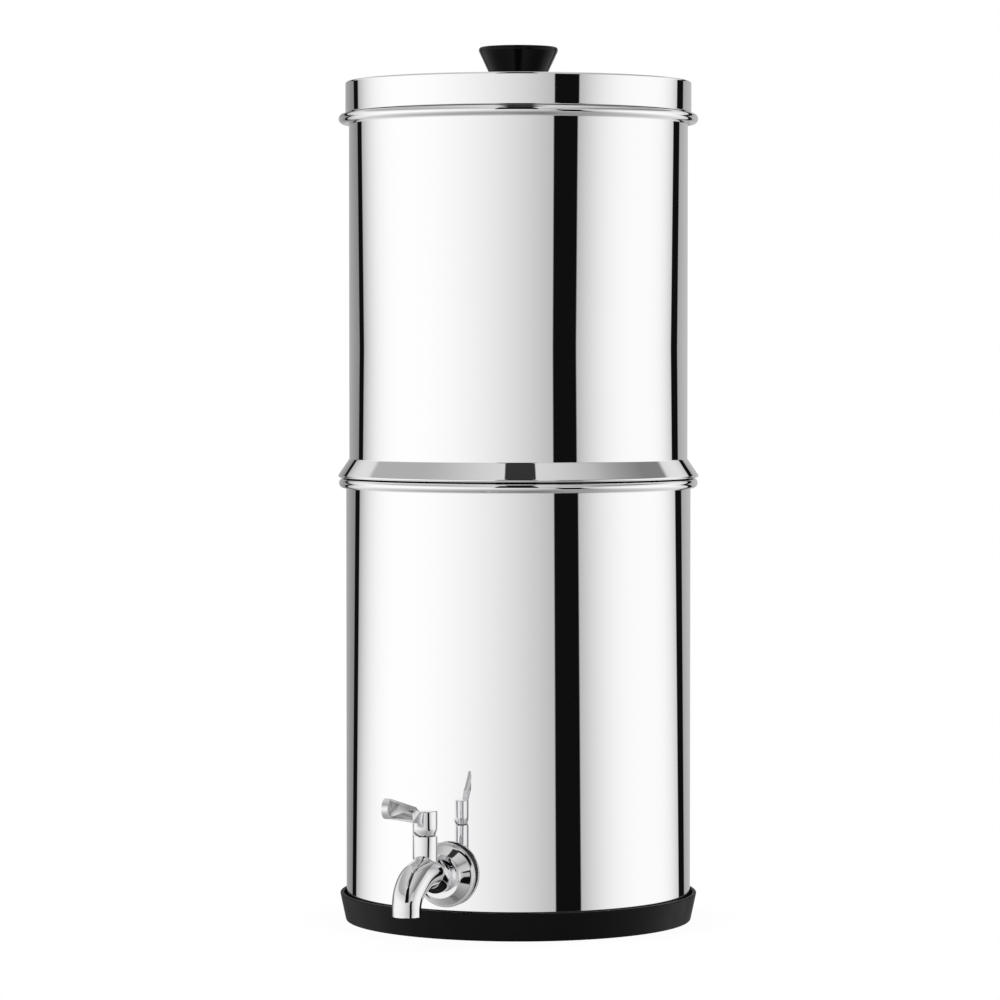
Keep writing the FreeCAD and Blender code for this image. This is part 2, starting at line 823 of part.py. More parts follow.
def tap_lever():
    blade, root = fin_outline()
    across = Vector(fin_thickness, 0, 0)
    outline = Part.Wire(blade)
    fin = Part.Face(outline).extrude(across).fuse(Part.Face(root).extrude(across))
    depth = fin_panel_depth + cut_overrun
    panel = Part.Face(outline.makeOffset2D(-fin_frame)).extrude(Vector(depth, 0, 0))
    near_panel = panel.translated(Vector(-cut_overrun, 0, 0))
    far_panel = panel.translated(Vector(fin_thickness - fin_panel_depth, 0, 0))
    hub = turned_profile([
        (0, hub_low, 0),
        (hub_radius - hub_taper, hub_low, 0),
        (hub_radius, hub_low + hub_taper_height, hub_radius),
        (hub_radius, hub_top, hub_edge),
        (0, hub_top, 0),
    ]).translated(at_ring(barrel_distance, 0))
    fin = fin.cut([near_panel, far_panel])
    notch = cam_hump(hub_low, 2 * cam_rise, stem_radius / 2, 2 * hub_radius)
    stem_hole = on_barrel(stem_radius, hub_low - cut_overrun, stem_top)
    lever = hub.fuse(fin).cut([notch, stem_hole, pin_bar(pin_radius)])
    return lever.removeSplitter()


os.makedirs("parts", exist_ok=True)

save("lower_chamber", lower_chamber())
save("base_ring", base_ring())
save("upper_chamber", upper_chamber())
save("lid", lid())
save("lid_knob", lid_knob())
save("knob_washer", knob_washer())
save("knob_screw", knob_screw())

right, rear, left, front = floor_places()
for side, place in (("left", left), ("right", right)):
    save("filter_block_" + side, filter_block(place))
    save("filter_base_" + side, filter_base(place))
    save("filter_washer_" + side, floor_washer(place))
    save("filter_nut_" + side, wing_nut(place))
for side, place in (("front", front), ("rear", rear)):
    save("blank_plug_" + side, blank_plug(place))
    save("plug_washer_" + side, floor_washer(place))
    save("plug_nut_" + side, plug_nut(place))

save("tap_body", tap_body())
save("tap_escutcheon", tap_escutcheon())
save("tap_gasket_outer", tap_gasket_outer())
save("tap_gasket_inner", tap_gasket_inner())
save("tap_nut", tap_nut())
save("stem_gland", stem_gland())
save("stem_oring", stem_oring())
save("valve_disc", valve_disc())
save("spring_washer", spring_washer())
save("valve_spring", valve_spring())
save("valve_stem", valve_stem())
save("tap_lever", tap_lever())
save("lever_pin", lever_pin())
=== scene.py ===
import math

import bmesh
import bpy
from bpy.props import FloatProperty, FloatVectorProperty, PointerProperty
from mathutils import Matrix, Vector


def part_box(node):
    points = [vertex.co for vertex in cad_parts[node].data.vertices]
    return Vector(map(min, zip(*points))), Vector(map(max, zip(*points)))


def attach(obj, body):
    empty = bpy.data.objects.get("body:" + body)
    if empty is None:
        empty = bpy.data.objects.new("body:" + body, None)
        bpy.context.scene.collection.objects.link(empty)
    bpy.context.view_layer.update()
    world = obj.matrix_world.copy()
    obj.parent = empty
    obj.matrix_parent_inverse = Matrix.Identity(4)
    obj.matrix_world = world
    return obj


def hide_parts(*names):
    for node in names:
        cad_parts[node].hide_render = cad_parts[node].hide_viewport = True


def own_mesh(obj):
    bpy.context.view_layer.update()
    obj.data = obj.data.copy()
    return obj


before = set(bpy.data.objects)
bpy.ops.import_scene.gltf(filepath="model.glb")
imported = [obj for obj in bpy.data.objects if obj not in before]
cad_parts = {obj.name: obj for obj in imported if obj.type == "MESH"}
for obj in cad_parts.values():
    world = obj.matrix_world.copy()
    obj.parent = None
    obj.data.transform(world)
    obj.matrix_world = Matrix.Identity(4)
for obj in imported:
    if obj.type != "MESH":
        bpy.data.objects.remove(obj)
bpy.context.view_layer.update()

bl_info = {
    "name": "Gravity Water Filter",
    "version": (1, 0, 0),
    "blender": (4, 5, 0),
    "location": "View3D > Sidebar > Water Filter",
    "description": "Polished steel gravity water filter with a lever tap",
    "category": "Add Mesh",
}

MM = 0.001
CURL_GAP = 0.35 * MM
CURL_MOST = math.radians(60)
WELD_REACH = 0.0001 * MM
SKIN_WELD_REACH = 0.002 * MM
LEAST_MITRE = 0.3


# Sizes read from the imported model

def top_of(node):
    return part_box(node)[1][2]


def foot_of(node):
    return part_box(node)[0][2]


def reach_of(node):
    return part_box(node)[1][0]


LOWER_TOP = top_of("lower_chamber")
LOWER_FOOT = foot_of("lower_chamber")
UPPER_TOP = top_of("upper_chamber")
UPPER_FOOT = foot_of("upper_chamber")
RIM_REACH = reach_of("lower_chamber")
LID_TOP = top_of("lid")
LID_FOOT = foot_of("lid")
LID_REACH = reach_of("lid")
KNOB_TOP = top_of("lid_knob")
KNOB_REACH = reach_of("lid_knob")
RING_TOP = top_of("base_ring")
RING_REACH = reach_of("base_ring")


def length(name, description, default):
    return FloatProperty(name=name, description=description, default=default, unit="LENGTH", precision=5)


class ChamberSizes(bpy.types.PropertyGroup):
    sheet: length("Sheet", "Thickness of the steel sheet", 0.7 * MM)
    lower_radius: length("Lower radius", "Outside of the lower chamber's wall", 108.0 * MM)
    upper_radius: length("Upper radius", "Outside of the upper chamber's wall", 106.0 * MM)
    floor_corner: length("Floor corner", "Bend between wall and floor", 4.0 * MM)
    neck_corner: length("Neck corner", "Bend between the nested neck and its floor", 6.0 * MM)
    neck_gap: length("Neck gap", "Room between the nested neck and the lower chamber", 1.2 * MM)
    rim_tube: length("Rim tube", "Radius of the rolled rims", 3.1 * MM)
    seam: length("Seam", "Gap between the chambers at the seam", 0.1 * MM)
    lid_gap: length("Lid gap", "Gap between the upper rim's crest and the lid", 0.5 * MM)
    flare_reach: length("Flare reach", "Widest radius of the flared skirt", 112.85 * MM)
    flare_lift: length("Flare lift", "Rise of the flare's foot from the rim it rests on", 0.4 * MM)
    flare_height: length("Flare height", "Height of the flare's cone", 10.6 * MM)
    flare_bend: length("Flare bend", "Bend between the flare and the wall", 1.6 * MM)


class LidSizes(bpy.types.PropertyGroup):
    neck_depth: length("Neck depth", "How far the lid drops into the chamber", 12.0 * MM)
    neck_gap: length("Neck gap", "Room between the lid's neck and the chamber", 0.6 * MM)
    foot_bend: length("Foot bend", "Bend where the skirt meets the rim", 1.2 * MM)
    shoulder: length("Shoulder", "Rounding of the lid's upper edge", 1.1 * MM)
    knob_base: length("Knob base", "Radius of the knob on the lid", 17.2 * MM)
    knob_waist: length("Knob waist", "Radius of the knob's waist", 18.4 * MM)
    knob_waist_height: length("Waist height", "Height of the knob's waist", 6.0 * MM)
    knob_waist_bend: length("Waist bend", "Rounding between the knob's foot and its flared side", 12.0 * MM)
    knob_band: length("Knob band", "Upright band round the knob's top", 2.6 * MM)
    knob_edge: length("Knob edge", "Rounding of the knob's upper edge", 1.6 * MM)


class RingSizes(bpy.types.PropertyGroup):
    foot_radius: length("Foot radius", "Outside of the ring where it stands", 108.4 * MM)
    wall: length("Wall", "Thickness of the ring's upright wall", 2.4 * MM)
    web: length("Web", "Thickness of the web under the chamber", 3.5 * MM)
    bore: length("Bore", "Radius of the opening in the web", 99.0 * MM)
    edge: length("Edge", "Rounding of the ring's edges", 0.8 * MM)
    fit: length("Fit", "Room between the ring's wall and the chamber", 0.3 * MM)
    flare: length("Flare", "How far the wall's sharp corner stands past the ring's width", 0.15 * MM)
    settle: length("Settle", "How far the ring's worn upper edge lies under its full height", 1.0 * MM)


class StudioSettings(bpy.types.PropertyGroup):
    distance: length("Camera distance", "From the chambers' axis to the camera", 2.690)
    height: length("Camera height", "Above the table", 0.359)
    azimuth: FloatProperty(name="Azimuth", description="Camera's place round the filter from the tap",
                           default=math.radians(23.2), subtype="ANGLE")
    pitch: FloatProperty(name="Pitch", description="How far the camera looks down",
                         default=math.radians(2.032), subtype="ANGLE")
    swing: FloatProperty(name="Swing", description="How far the camera looks past the axis",
                         default=math.radians(0.245), subtype="ANGLE")
    lens: FloatProperty(name="Lens", description="Focal length in millimetres", default=154.3)
    fill: FloatProperty(name="Fill", description="Light on everything that isn't a mirror", default=0.8)
    shadow: FloatProperty(name="Shadow", description="Brightness of the table right beside the ring",
                          default=0.975, subtype="FACTOR", min=0, max=1)
    shadow_reach: length("Shadow reach", "How far the contact shadow spreads", 0.05)


class FinishColours(bpy.types.PropertyGroup):
    steel: FloatVectorProperty(name="Steel", description="Polished stainless steel", subtype="COLOR",
                               default=(0.93, 0.93, 0.94))
    chrome: FloatVectorProperty(name="Chrome", description="Plated tap", subtype="COLOR",
                                default=(0.86, 0.86, 0.87))
    satin: FloatVectorProperty(name="Satin", description="Lever's blade", subtype="COLOR",
                               default=(0.74, 0.74, 0.75))
    rubber: FloatVectorProperty(name="Rubber", description="Base ring", subtype="COLOR",
                                default=(0.0045, 0.0045, 0.005))
    knob: FloatVectorProperty(name="Knob", description="Black knob", subtype="COLOR",
                              default=(0.0025, 0.0025, 0.003))


# Outlines and turning

def arc_points(centre, radius, start, end, steps):
    return [
        (centre[0] + radius * math.cos(start + (end - start) * i / steps),
         centre[1] + radius * math.sin(start + (end - start) * i / steps))
        for i in range(steps + 1)
    ]


def rounded(corners, steps=8, hold=0.15 * MM):
    """Points of a path of (radius, height, bend) corners, with a holding point at each end of a run."""
    spots = [Vector(corner[:2]) for corner in corners]
    runs = []
    for i, spot in enumerate(spots):
        bend = corners[i][2]
        if i in (0, len(spots) - 1) or bend <= 0:
            runs.append([tuple(spot)])
            continue
        back = (spots[i - 1] - spot).normalized()
        ahead = (spots[i + 1] - spot).normalized()
        half = back.angle(ahead) / 2
        centre = spot + (back + ahead).normalized() * (bend / math.sin(half))
        first = spot + back * (bend / math.tan(half)) - centre
        last = spot + ahead * (bend / math.tan(half)) - centre
        start = math.atan2(first.y, first.x)
        turn = first.angle_signed(last)
        runs.append(arc_points(centre, bend, start, start - turn, steps))
    points = [runs[0][0]]
    for run in runs:
        here = Vector(points[-1])
        gap = Vector(run[0]) - here
        if gap.length > 4 * hold:
            points.append(tuple(here + gap.normalized() * hold))
            points.append(tuple(Vector(run[0]) - gap.normalized() * hold))
        for point in run:
            if (Vector(point) - Vector(points[-1])).length > 1e-6:
                points.append(point)
    return points


def sheet_outline(points, thickness):
    """Closed outline of a sheet whose one face follows the points; the other lies on their left."""
    spots = [Vector(point) for point in points]
    other = []
    for i, spot in enumerate(spots):
        before = (spot - spots[max(i - 1, 0)]).normalized() if i else None
        after = (spots[min(i + 1, len(spots) - 1)] - spot).normalized() if i + 1 < len(spots) else None
        before = before or after
        after = after or before
        left = Vector((-before.y - after.y, before.x + after.x)).normalized()
        lean = left.dot(Vector((-before.y, before.x)))
        other.append(tuple(spot + left * (thickness / max(lean, LEAST_MITRE))))
    return points + other[::-1]


def turned_mesh(name, outline, closed=True, steps=256):
    """Mesh turned about Z from (radius, height) points."""
    bm = bmesh.new()
    verts = [bm.verts.new((r, 0, z)) for r, z in outline]
    edges = [bm.edges.new(pair) for pair in zip(verts, verts[1:])]
    if closed:
        edges.append(bm.edges.new((verts[-1], verts[0])))
    bmesh.ops.spin(bm, geom=verts + edges, cent=(0, 0, 0), axis=(0, 0, 1), angle=math.tau, steps=steps,
                   use_merge=True)
    bmesh.ops.remove_doubles(bm, verts=bm.verts, dist=WELD_REACH)
    bmesh.ops.recalc_face_normals(bm, faces=bm.faces)
    return mesh_from(bm, name)


def mesh_from(bm, name):
    mesh = bpy.data.meshes.new(name)
    bm.to_mesh(mesh)
    bm.free()
    return mesh


def add_piece(name, mesh, body, nodes, material, sharp_angle=35):
    """Puts a finished mesh in the scene on its body, in place of the named nodes."""
    piece = bpy.data.objects.new(name, mesh)
    bpy.context.scene.collection.objects.link(piece)
    mesh.materials.clear()
    mesh.materials.append(material)
    mesh.shade_smooth()
    mesh.set_sharp_from_angle(angle=math.radians(sharp_angle))
    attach(piece, body)
    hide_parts(*nodes)
    return piece


# Shared shader groups

POLISH_SCALE = 900
POLISH_DEPTH = 0.02 * MM
HAZE_SCALE = 22
GRAIN_DEPTH = 0.06 * MM
DUST_SCALE = 260
PATCH_SCALE = 35


def new_group(name, inputs, outputs):
    """Empty shader group with named float or colour inputs and outputs."""
    group = bpy.data.node_groups.new(name, "ShaderNodeTree")
    for label, kind, default in inputs:
        socket = group.interface.new_socket(label, in_out="INPUT", socket_type=kind)
        if default is not None:
            socket.default_value = default
    for label, kind in outputs:
        group.interface.new_socket(label, in_out="OUTPUT", socket_type=kind)
    nodes = group.nodes
    return group, nodes.new("NodeGroupInput"), nodes.new("NodeGroupOutput")


def noise(tree, vector, scale, detail=2.0, roughness=0.5):
    node = tree.nodes.new("ShaderNodeTexNoise")
    node.inputs["Scale"].default_value = scale
    node.inputs["Detail"].default_value = detail
    node.inputs["Roughness"].default_value = roughness
    tree.links.new(vector, node.inputs["Vector"])
    return node.outputs["Fac"]


def remap(tree, value, low_in, high_in, low_out, high_out, smooth=False):
    node = tree.nodes.new("ShaderNodeMapRange")
    node.interpolation_type = "SMOOTHSTEP" if smooth else "LINEAR"
    settings = {"From Min": low_in, "From Max": high_in, "To Min": low_out, "To Max": high_out}
    for socket, setting in settings.items():
        if isinstance(setting, bpy.types.NodeSocket):
            tree.links.new(setting, node.inputs[socket])
        else:
            node.inputs[socket].default_value = setting
    tree.links.new(value, node.inputs["Value"])
    return node.outputs["Result"]


def maths(tree, operation, first, second=None):
    node = tree.nodes.new("ShaderNodeMath")
    node.operation = operation
    for socket, setting in zip(node.inputs, (first, second)):
        if isinstance(setting, bpy.types.NodeSocket):
            tree.links.new(setting, socket)
        elif setting is not None:
            socket.default_value = setting
    return node.outputs["Value"]


def polish_and_shade_group():
    """Fine polishing marks and faint handling haze on mirror-bright metal, with painted shade that darkens
    the colour towards near black in tight crevices and seams.
    """
    name = "Polishing"
    if name in bpy.data.node_groups:
        return bpy.data.node_groups[name]
    group, inside, outside = new_group(name, [
        ("Roughness", "NodeSocketFloat", 0.02),
        ("Haze", "NodeSocketFloat", 0.01),
        ("Marks", "NodeSocketFloat", 0.01),
        ("Colour", "NodeSocketColor", (0.9, 0.9, 0.9, 1)),
        ("Crevice Shade Reach", "NodeSocketFloat", 0.0012),
    ], [("Roughness", "NodeSocketFloat"), ("Normal", "NodeSocketVector"), ("Colour", "NodeSocketColor")])
    place = group.nodes.new("ShaderNodeTexCoord").outputs["Object"]
    clouds = noise(group, place, HAZE_SCALE, 3.0)
    haze = maths(group, "MULTIPLY", remap(group, clouds, 0.45, 0.7, 0, 1, True), inside.outputs["Haze"])
    rough = maths(group, "ADD", haze, inside.outputs["Roughness"])
    group.links.new(rough, outside.inputs["Roughness"])
    grain = noise(group, place, POLISH_SCALE, 2.0)
    bump = group.nodes.new("ShaderNodeBump")
    bump.inputs["Distance"].default_value = POLISH_DEPTH
    group.links.new(inside.outputs["Marks"], bump.inputs["Strength"])
    group.links.new(grain, bump.inputs["Height"])
    group.links.new(bump.outputs["Normal"], outside.inputs["Normal"])
    # Painted shade: ambient occlusion within the crevice reach darkens the metal's colour towards near
    # black in seams, gaps and under rims.
    shade_occlusion = group.nodes.new("ShaderNodeAmbientOcclusion")
    shade_occlusion.samples = 8
    group.links.new(inside.outputs["Crevice Shade Reach"], shade_occlusion.inputs["Distance"])
    unshaded_share = remap(group, shade_occlusion.outputs["AO"], 0.35, 0.75, 0.0, 1.0, True)
    painted_crevice_shade = group.nodes.new("ShaderNodeMix")
    painted_crevice_shade.data_type = "RGBA"
    painted_crevice_shade.inputs["A"].default_value = (0.01, 0.01, 0.01, 1)
    group.links.new(unshaded_share, painted_crevice_shade.inputs["Factor"])
    group.links.new(inside.outputs["Colour"], painted_crevice_shade.inputs["B"])
    group.links.new(painted_crevice_shade.outputs["Result"], outside.inputs["Colour"])
    return group


def grain_group():
    """Moulded or cast grain with faint dust, for rubber and plastic."""
    name = "Moulded Grain"
    if name in bpy.data.node_groups:
        return bpy.data.node_groups[name]
    group, inside, outside = new_group(name, [
        ("Colour", "NodeSocketColor", (0.02, 0.02, 0.02, 1)),
        ("Dust Colour", "NodeSocketColor", (0.25, 0.24, 0.23, 1)),
        ("Dust", "NodeSocketFloat", 0.03),
        ("Roughness", "NodeSocketFloat", 0.4),
        ("Grain Scale", "NodeSocketFloat", 1500.0),
        ("Grain", "NodeSocketFloat", 0.2),
    ], [("Colour", "NodeSocketColor"), ("Roughness", "NodeSocketFloat"), ("Normal", "NodeSocketVector")])
    place = group.nodes.new("ShaderNodeTexCoord").outputs["Object"]
    grain = group.nodes.new("ShaderNodeTexNoise")
    group.links.new(place, grain.inputs["Vector"])
    group.links.new(inside.outputs["Grain Scale"], grain.inputs["Scale"])
    bump = group.nodes.new("ShaderNodeBump")
    bump.inputs["Distance"].default_value = GRAIN_DEPTH
    group.links.new(inside.outputs["Grain"], bump.inputs["Strength"])
    group.links.new(grain.outputs["Fac"], bump.inputs["Height"])
    group.links.new(bump.outputs["Normal"], outside.inputs["Normal"])
    specks = remap(group, noise(group, place, DUST_SCALE, 4.0, 0.7), 0.6, 0.78, 0, 1)
    amount = maths(group, "MULTIPLY", specks, inside.outputs["Dust"])
    mix = group.nodes.new("ShaderNodeMix")
    mix.data_type = "RGBA"
    group.links.new(amount, mix.inputs["Factor"])
    group.links.new(inside.outputs["Colour"], mix.inputs["A"])
    group.links.new(inside.outputs["Dust Colour"], mix.inputs["B"])
    group.links.new(mix.outputs["Result"], outside.inputs["Colour"])
    patches = remap(group, noise(group, place, PATCH_SCALE, 2.0), 0.35, 0.65, -0.04, 0.05, True)
    group.links.new(maths(group, "ADD", inside.outputs["Roughness"], patches), outside.inputs["Roughness"])
    return group


def new_material(name):
    material = bpy.data.materials.get(name)
    if material:
        return material, None, None
    material = bpy.data.materials.new(name)
    material.use_nodes = True
    return material, material.node_tree, material.node_tree.nodes["Principled BSDF"]


def use_group(tree, group, values):
    node = tree.nodes.new("ShaderNodeGroup")
    node.node_tree = group
    for label, value in values.items():
        node.inputs[label].default_value = value
    return node


def polished_metal(name, colour, roughness, haze, marks):
    material, tree, shader = new_material(name)
    if tree is None:
        return material
    shader.inputs["Metallic"].default_value = 1
    polish = use_group(tree, polish_and_shade_group(), {
        "Roughness": roughness, "Haze": haze, "Marks": marks, "Colour": (*colour, 1)})
    tree.links.new(polish.outputs["Colour"], shader.inputs["Base Color"])
    tree.links.new(polish.outputs["Roughness"], shader.inputs["Roughness"])
    tree.links.new(polish.outputs["Normal"], shader.inputs["Normal"])
    return material


def moulded(name, colour, roughness, grain_scale, grain, dust=0.03, specular=0.5):
    material, tree, shader = new_material(name)
    if tree is None:
        return material
    surface = use_group(tree, grain_group(), {
        "Colour": (*colour, 1), "Dust": dust, "Roughness": roughness,
        "Grain Scale": grain_scale, "Grain": grain})
    tree.links.new(surface.outputs["Colour"], shader.inputs["Base Color"])
    tree.links.new(surface.outputs["Roughness"], shader.inputs["Roughness"])
    tree.links.new(surface.outputs["Normal"], shader.inputs["Normal"])
    shader.inputs["Specular IOR Level"].default_value = specular
    return material


def colours():
    return bpy.context.scene.filter_colours


def steel():
    return polished_metal("Polished Steel", colours().steel, 0.012, 0.006, 0.02)


def chrome():
    return polished_metal("Tap Chrome", colours().chrome, 0.03, 0.015, 0.03)


def satin_chrome():
    return polished_metal("Satin Chrome", colours().satin, 0.24, 0.05, 0.25)


def plain_steel():
    return polished_metal("Plain Steel", (0.55, 0.55, 0.56), 0.28, 0.08, 0.3)


def brass():
    return polished_metal("Turned Brass", (0.72, 0.52, 0.24), 0.2, 0.08, 0.25)


def ring_rubber():
    return moulded("Ring Rubber", colours().rubber, 0.42, 900, 0.3, 0.004, 0.1)


def knob_black():
    return moulded("Knob Black", colours().knob, 0.16, 300, 0.02, 0.0, 0.14)


def seal_rubber():
    return moulded("Seal Rubber", (0.02, 0.02, 0.021), 0.55, 1500, 0.3)


def silicone():
    return moulded("Valve Silicone", (0.62, 0.62, 0.58), 0.42, 1800, 0.15, 0.02)


def cap_plastic():
    return moulded("Cap Plastic", (0.018, 0.018, 0.02), 0.38, 1200, 0.3)


def carbon():
    return moulded("Pressed Carbon", (0.012, 0.012, 0.012), 0.85, 420, 1.0, 0.12)


# Chambers, lid, knob and base ring

def rim_points(bore, top, sizes):
    """Rolled rim from the wall's inner face over its crest and back to the wall."""
    ring = RIM_REACH - sizes.rim_tube
    lead = ring - bore
    room = (ring - bore - sizes.sheet - CURL_GAP) / sizes.rim_tube
    curl = math.asin(min(room, math.sin(CURL_MOST)))
    crest = arc_points((ring, top - lead), lead, math.pi, math.pi / 2, 8)
    tube = arc_points((ring, top - sizes.rim_tube), sizes.rim_tube, math.pi / 2, -math.pi / 2 - curl, 20)
    return crest + tube[1:]


def lower_chamber_outline(sizes):
    bore = sizes.lower_radius - sizes.sheet
    floor = LOWER_FOOT + sizes.sheet
    start = LOWER_TOP - (RIM_REACH - sizes.rim_tube - bore)
    path = rounded([
        (0.0, floor, 0),
        (bore, floor, sizes.floor_corner - sizes.sheet),
        (bore, start, 0),
    ])
    return sheet_outline(path + rim_points(bore, LOWER_TOP, sizes)[1:], -sizes.sheet)


def upper_chamber_outline(sizes):
    bore = sizes.upper_radius - sizes.sheet
    neck = sizes.lower_radius - 2 * sizes.sheet - sizes.neck_gap
    floor = UPPER_FOOT + sizes.sheet
    under = LOWER_TOP + sizes.seam + sizes.sheet
    foot = under + sizes.flare_lift
    skirt = sizes.flare_reach - sizes.sheet / 2
    top = UPPER_TOP - sizes.lid_gap
    start = top - (RIM_REACH - sizes.rim_tube - bore)
    path = rounded([
        (0.0, floor, 0),
        (neck, floor, sizes.neck_corner - sizes.sheet),
        (neck, under, 2 * sizes.sheet),
        (skirt, foot, sizes.sheet / 2),
        (bore, foot + sizes.flare_height, sizes.flare_bend),
        (bore, start, 0),
    ])
    return sheet_outline(path + rim_points(bore, top, sizes)[1:], -sizes.sheet)


def lid_outline(chamber, sizes):
    neck = chamber.upper_radius - chamber.sheet - sizes.neck_gap
    seat = LID_FOOT + sizes.neck_depth
    path = rounded([
        (neck, LID_FOOT, 0),
        (neck, seat, chamber.sheet),
        (LID_REACH, seat, sizes.foot_bend),
        (LID_REACH, LID_TOP, sizes.shoulder),
        (0.0, LID_TOP, 0),
    ])
    return sheet_outline(path, chamber.sheet)


class FILTER_OT_chambers(bpy.types.Operator):
    """Turn the two steel chambers with their rolled rims and the flared skirt"""
    bl_idname = "water_filter.chambers"
    bl_label = "Chambers"

    def execute(self, context):
        sizes = context.scene.filter_chambers
        lower = turned_mesh("lower_chamber_shell", lower_chamber_outline(sizes), closed=False)
        add_piece("lower_chamber_shell", lower, "lower_unit", ["lower_chamber"], steel())
        upper = turned_mesh("upper_chamber_shell", upper_chamber_outline(sizes), closed=False)
        add_piece("upper_chamber_shell", upper, "upper_unit", ["upper_chamber"], steel())
        return {"FINISHED"}


class FILTER_OT_lid(bpy.types.Operator):
    """Turn the lid and the black knob on it"""
    bl_idname = "water_filter.lid"
    bl_label = "Lid and knob"

    def execute(self, context):
        sizes = context.scene.filter_lid
        outline = lid_outline(context.scene.filter_chambers, sizes)
        add_piece("lid_shell", turned_mesh("lid_shell", outline, closed=False), "lid_unit", ["lid"],
                  steel())
        knob = rounded([
            (0.0, LID_TOP, 0),
            (sizes.knob_base, LID_TOP, sizes.knob_edge / 3),
            (sizes.knob_waist, LID_TOP + sizes.knob_waist_height, sizes.knob_waist_bend),
            (KNOB_REACH, KNOB_TOP - sizes.knob_band, sizes.knob_edge),
            (KNOB_REACH, KNOB_TOP, sizes.knob_edge),
            (0.0, KNOB_TOP, 0),
        ])
        add_piece("lid_knob_body", turned_mesh("lid_knob_body", knob, closed=False, steps=128), "lid_unit",
                  ["lid_knob"], knob_black())
        return {"FINISHED"}


class FILTER_OT_base_ring(bpy.types.Operator):
    """Turn the rubber ring that the lower chamber stands in"""
    bl_idname = "water_filter.base_ring"
    bl_label = "Base ring"

    def execute(self, context):
        sizes = context.scene.filter_ring
        chamber = context.scene.filter_chambers
        inside = chamber.lower_radius + sizes.fit
        top = RING_TOP - sizes.settle
        outline = rounded([
            (sizes.bore, 0.0, 0),
            (sizes.foot_radius, 0.0, sizes.edge),
            (RING_REACH + sizes.flare, top, sizes.edge),
            (RING_REACH - sizes.wall, top, sizes.edge / 2),
            (inside, sizes.web, chamber.floor_corner),
            (sizes.bore, sizes.web, 0),
        ])
        add_piece("base_ring_body", turned_mesh("base_ring_body", outline), "lower_unit", ["base_ring"],
                  ring_rubber())
        return {"FINISHED"}


# Tap

SKIN_SHARP = 30
BLADE_START = 0.75
BLADE_SIDE = 0.9


def merged_copy(node, name):
    """Copy of a node's mesh with its loose triangles joined into one skin."""
    bm = bmesh.new()
    bm.from_mesh(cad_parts[node].data)
    bmesh.ops.transform(bm, matrix=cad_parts[node].matrix_world, verts=bm.verts)
    bmesh.ops.remove_doubles(bm, verts=bm.verts, dist=SKIN_WELD_REACH)
    return mesh_from(bm, name)


class FILTER_OT_tap(bpy.types.Operator):
    """Skin the tap's casting, lever and flange in chrome, and copy its valve spring in plain steel"""
    bl_idname = "water_filter.tap"
    bl_label = "Tap"

    def execute(self, context):
        for node, body in (("tap_body", "lower_unit"), ("tap_lever", "lever_unit"),
                           ("tap_escutcheon", "lower_unit")):
            mesh = merged_copy(node, node + "_skin")
            piece = add_piece(node + "_skin", mesh, body, [node], chrome(), SKIN_SHARP)
            if node == "tap_lever":
                mesh.materials.append(satin_chrome())
                self.finish_blade(piece)
        self.wind_spring()
        return {"FINISHED"}

    def wind_spring(self):
        """Valve spring copied from the imported model, in plain steel on the lower unit."""
        mesh = merged_copy("valve_spring", "valve_spring_coil")
        coil = add_piece("valve_spring_coil", mesh, "lower_unit", ["valve_spring"],
                         plain_steel(), SKIN_SHARP)
        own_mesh(coil)

    def finish_blade(self, lever):
        """Satin on the flat sides of the lever's blade, ahead of its round hub."""
        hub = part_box("valve_stem")
        hub_front = hub[0][1] - (hub[1][1] - hub[0][1]) * BLADE_START
        for face in lever.data.polygons:
            if face.center.y < hub_front and abs(face.normal.x) > BLADE_SIDE:
                face.material_index = 1


def inner_finishes():
    """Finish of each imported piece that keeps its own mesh."""
    return {
        "knob_screw": plain_steel(), "knob_washer": plain_steel(), "lever_pin": plain_steel(),
        "tap_nut": plain_steel(), "spring_washer": plain_steel(),
        "stem_gland": brass(), "valve_stem": brass(), "valve_disc": silicone(),
        "tap_gasket_outer": seal_rubber(), "tap_gasket_inner": seal_rubber(), "stem_oring": seal_rubber(),
        "filter_block": carbon(), "filter_base": cap_plastic(), "filter_nut": cap_plastic(),
        "filter_washer": seal_rubber(), "blank_plug": cap_plastic(), "plug_nut": cap_plastic(),
        "plug_washer": seal_rubber(),
    }


class FILTER_OT_inner_parts(bpy.types.Operator):
    """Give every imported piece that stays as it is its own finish"""
    bl_idname = "water_filter.inner_parts"
    bl_label = "Inner parts"

    def execute(self, context):
        for stem, material in inner_finishes().items():
            matches = [node for name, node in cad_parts.items() if name.startswith(stem)]
            if not matches:
                raise RuntimeError("no packed piece is called " + stem)
            for node in matches:
                for slot in node.material_slots:
                    slot.material = material
        return {"FINISHED"}


# Studio

def add_camera(settings):
    camera = bpy.data.cameras.new("Camera")
    camera.lens = settings.lens
    camera.sensor_width = 36
    seat = bpy.data.objects.new("Camera", camera)
    bpy.context.scene.collection.objects.link(seat)
    place = Vector((math.sin(settings.azimuth), -math.cos(settings.azimuth), 0)) * settings.distance
    place.z = settings.height
    heading = Matrix.Rotation(settings.azimuth + settings.swing, 4, "Z")
    tilt = Matrix.Rotation(math.pi / 2 - settings.pitch, 4, "X")
    seat.matrix_world = Matrix.Translation(place) @ heading @ tilt
    bpy.context.scene.camera = seat


def between(tree, value, low, high, blur):
    """One inside a range of a value and nothing outside it, with soft edges."""
    rise = remap(tree, value, low - blur, low + blur, 0.0, 1.0, True)
    fall = remap(tree, value, high - blur, high + blur, 1.0, 0.0, True)
    return maths(tree, "MULTIPLY", rise, fall)


